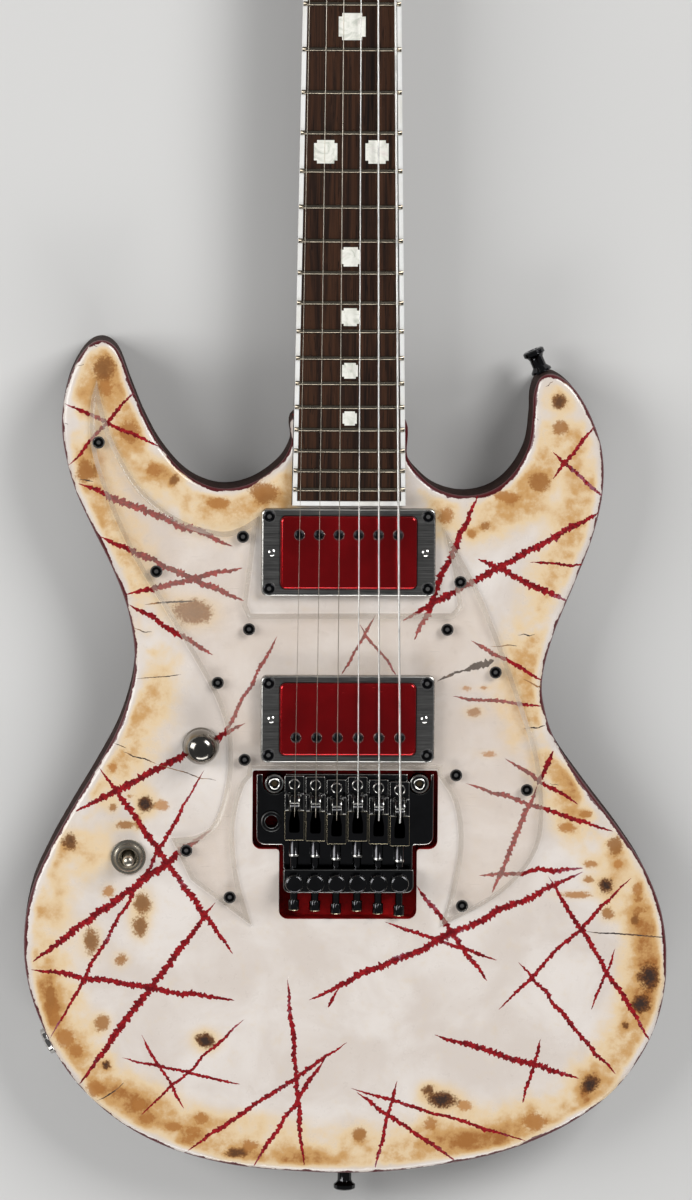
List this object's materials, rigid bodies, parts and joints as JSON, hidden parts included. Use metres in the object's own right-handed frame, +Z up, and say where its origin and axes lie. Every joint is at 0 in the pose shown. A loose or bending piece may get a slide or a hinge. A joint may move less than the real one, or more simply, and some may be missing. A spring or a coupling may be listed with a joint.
{
  "type": "broken electric guitar",
  "caption": "Left-handed solid-body electric guitar with gouged, burnt and cracked lacquer, clear guard, mirror pickups and a floating locking tremolo without its arm.",
  "frame": {"origin": "on the ground under the middle of the guitar's overall length and width", "axes": "the guitar lies on its back; +Y runs along the strings towards the head, +Z is up out of the face, +X is across the strings towards the thickest"},
  "size_m": [0.3312, 1.0457, 0.0594],
  "materials": {
    "cream_lacquer": "aged cream lacquer, gouged and burnt, over hard wood",
    "neck_lacquer": "dark stained wood under satin lacquer",
    "rosewood": "oiled, open grained",
    "white_binding": "polished",
    "clear_acrylic": "clear, scratched, bevelled edge",
    "brushed_steel": "dark, brushed lengthwise",
    "mirror_red": "mirror glossy red",
    "black_chrome": "dark mirror plating",
    "polished_steel": "polished",
    "cast_block": "dark cast metal",
    "plain_string": "plain steel wire, slightly tarnished",
    "wound_string": "steel wire wound with finer wire",
    "black_plastic": "satin"
  },
  "bodies": {
    "guitar": {"body": "cream_lacquer", "neck": "neck_lacquer", "fretboard": "rosewood", "fretboard_binding": "white_binding", "pickguard": "clear_acrylic", "neck_pickup_ring": "brushed_steel", "bridge_pickup_ring": "brushed_steel", "neck_pickup": "mirror_red", "bridge_pickup": "mirror_red", "locking_nut": "black_chrome", "string_retainer": "black_chrome", "selector_switch": "polished_steel", "volume_pot": "polished_steel", "output_jack": "polished_steel", "strap_button_horn": "black_chrome", "strap_button_tail": "black_chrome", "pivot_stud_bass": "black_chrome", "pivot_stud_treble": "black_chrome", "spring_claw": "polished_steel", "spring_cover": "black_plastic", "control_cover": "black_plastic", "tuner_plate": "black_chrome", "spring_1": "polished_steel", "spring_2": "polished_steel", "spring_3": "polished_steel", "string_1": "plain_string", "string_2": "plain_string", "string_3": "plain_string", "string_4": "wound_string", "string_5": "wound_string", "string_6": "wound_string"},
    "tremolo": {"base_plate": "black_chrome", "sustain_block": "cast_block", "arm_socket": "black_chrome", "saddle_1": "black_chrome", "saddle_2": "black_chrome", "saddle_3": "black_chrome", "saddle_4": "black_chrome", "saddle_5": "black_chrome", "saddle_6": "black_chrome"},
    "volume_knob": {"volume_knob": "polished_steel"},
    "selector_lever": {"selector_lever": "polished_steel"},
    "fine_tuner_1": {"fine_tuner_1": "black_chrome"},
    "tuner_key_1": {"tuner_key_1": "black_chrome"},
    "tuner_post_1": {"tuner_post_1": "polished_steel"},
    "fine_tuner_2": {"fine_tuner_2": "black_chrome"},
    "tuner_key_2": {"tuner_key_2": "black_chrome"},
    "tuner_post_2": {"tuner_post_2": "polished_steel"},
    "fine_tuner_3": {"fine_tuner_3": "black_chrome"},
    "tuner_key_3": {"tuner_key_3": "black_chrome"},
    "tuner_post_3": {"tuner_post_3": "polished_steel"},
    "fine_tuner_4": {"fine_tuner_4": "black_chrome"},
    "tuner_key_4": {"tuner_key_4": "black_chrome"},
    "tuner_post_4": {"tuner_post_4": "polished_steel"},
    "fine_tuner_5": {"fine_tuner_5": "black_chrome"},
    "tuner_key_5": {"tuner_key_5": "black_chrome"},
    "tuner_post_5": {"tuner_post_5": "polished_steel"},
    "fine_tuner_6": {"fine_tuner_6": "black_chrome"},
    "tuner_key_6": {"tuner_key_6": "black_chrome"},
    "tuner_post_6": {"tuner_post_6": "polished_steel"}
  },
  "joints": [
    {"name": "tremolo_pivot", "type": "hinge", "parent": "guitar", "child": "tremolo", "pos_m": [0, -0.31005, 0.0395], "axis": [1, 0, 0], "range_deg": [-15, 8], "stiffness_Nm_per_rad": 6, "deforming": ["string_1", "string_2", "string_3", "string_4", "string_5", "string_6", "spring_1", "spring_2", "spring_3"]},
    {"name": "volume_turn", "type": "hinge", "parent": "guitar", "child": "volume_knob", "pos_m": [-0.075, -0.28675, 0.05], "axis": [0, 0, 1], "range_deg": [-150, 150]},
    {"name": "selector_tilt", "type": "hinge", "parent": "guitar", "child": "selector_lever", "pos_m": [-0.112, -0.34455, 0.0385], "axis": [1, 0, 0], "range_deg": [-12, 12]},
    {"name": "fine_tuner_1_turn", "type": "hinge", "parent": "tremolo", "child": "fine_tuner_1", "pos_m": [-0.027, -0.35655, 0.052], "axis": [0, 0, 1], "range_deg": [-720, 720]},
    {"name": "fine_tuner_2_turn", "type": "hinge", "parent": "tremolo", "child": "fine_tuner_2", "pos_m": [-0.0162, -0.35655, 0.052], "axis": [0, 0, 1], "range_deg": [-720, 720]},
    {"name": "fine_tuner_3_turn", "type": "hinge", "parent": "tremolo", "child": "fine_tuner_3", "pos_m": [-0.0054, -0.35655, 0.052], "axis": [0, 0, 1], "range_deg": [-720, 720]},
    {"name": "fine_tuner_4_turn", "type": "hinge", "parent": "tremolo", "child": "fine_tuner_4", "pos_m": [0.0054, -0.35655, 0.052], "axis": [0, 0, 1], "range_deg": [-720, 720]},
    {"name": "fine_tuner_5_turn", "type": "hinge", "parent": "tremolo", "child": "fine_tuner_5", "pos_m": [0.0162, -0.35655, 0.052], "axis": [0, 0, 1], "range_deg": [-720, 720]},
    {"name": "fine_tuner_6_turn", "type": "hinge", "parent": "tremolo", "child": "fine_tuner_6", "pos_m": [0.027, -0.35655, 0.052], "axis": [0, 0, 1], "range_deg": [-720, 720]},
    {"name": "tuner_key_1_turn", "type": "hinge", "parent": "guitar", "child": "tuner_key_1", "pos_m": [-0.0145, 0.50075, 0.0185], "axis": [0.9589, 0.2838, 0], "continuous": true},
    {"name": "tuner_post_1_turn", "type": "hinge", "parent": "guitar", "child": "tuner_post_1", "pos_m": [-0.0145, 0.50075, 0.03], "axis": [0, 0, 1], "continuous": true},
    {"name": "tuner_key_2_turn", "type": "hinge", "parent": "guitar", "child": "tuner_key_2", "pos_m": [-0.0071, 0.47575, 0.0185], "axis": [0.9589, 0.2838, 0], "continuous": true},
    {"name": "tuner_post_2_turn", "type": "hinge", "parent": "guitar", "child": "tuner_post_2", "pos_m": [-0.0071, 0.47575, 0.03], "axis": [0, 0, 1], "continuous": true},
    {"name": "tuner_key_3_turn", "type": "hinge", "parent": "guitar", "child": "tuner_key_3", "pos_m": [0.0003, 0.45075, 0.0185], "axis": [0.9589, 0.2838, 0], "continuous": true},
    {"name": "tuner_post_3_turn", "type": "hinge", "parent": "guitar", "child": "tuner_post_3", "pos_m": [0.0003, 0.45075, 0.03], "axis": [0, 0, 1], "continuous": true},
    {"name": "tuner_key_4_turn", "type": "hinge", "parent": "guitar", "child": "tuner_key_4", "pos_m": [0.0077, 0.42575, 0.0185], "axis": [0.9589, 0.2838, 0], "continuous": true},
    {"name": "tuner_post_4_turn", "type": "hinge", "parent": "guitar", "child": "tuner_post_4", "pos_m": [0.0077, 0.42575, 0.03], "axis": [0, 0, 1], "continuous": true},
    {"name": "tuner_key_5_turn", "type": "hinge", "parent": "guitar", "child": "tuner_key_5", "pos_m": [0.0151, 0.40075, 0.0185], "axis": [0.9589, 0.2838, 0], "continuous": true},
    {"name": "tuner_post_5_turn", "type": "hinge", "parent": "guitar", "child": "tuner_post_5", "pos_m": [0.0151, 0.40075, 0.03], "axis": [0, 0, 1], "continuous": true},
    {"name": "tuner_key_6_turn", "type": "hinge", "parent": "guitar", "child": "tuner_key_6", "pos_m": [0.0225, 0.37575, 0.0185], "axis": [0.9589, 0.2838, 0], "continuous": true},
    {"name": "tuner_post_6_turn", "type": "hinge", "parent": "guitar", "child": "tuner_post_6", "pos_m": [0.0225, 0.37575, 0.03], "axis": [0, 0, 1], "continuous": true}
  ],
  "couplings": [
    {"joint": "tuner_post_1_turn", "follows": "tuner_key_1_turn", "ratio": 0.0667},
    {"joint": "tuner_post_2_turn", "follows": "tuner_key_2_turn", "ratio": 0.0667},
    {"joint": "tuner_post_3_turn", "follows": "tuner_key_3_turn", "ratio": 0.0667},
    {"joint": "tuner_post_4_turn", "follows": "tuner_key_4_turn", "ratio": 0.0667},
    {"joint": "tuner_post_5_turn", "follows": "tuner_key_5_turn", "ratio": 0.0667},
    {"joint": "tuner_post_6_turn", "follows": "tuner_key_6_turn", "ratio": 0.0667}
  ]
}
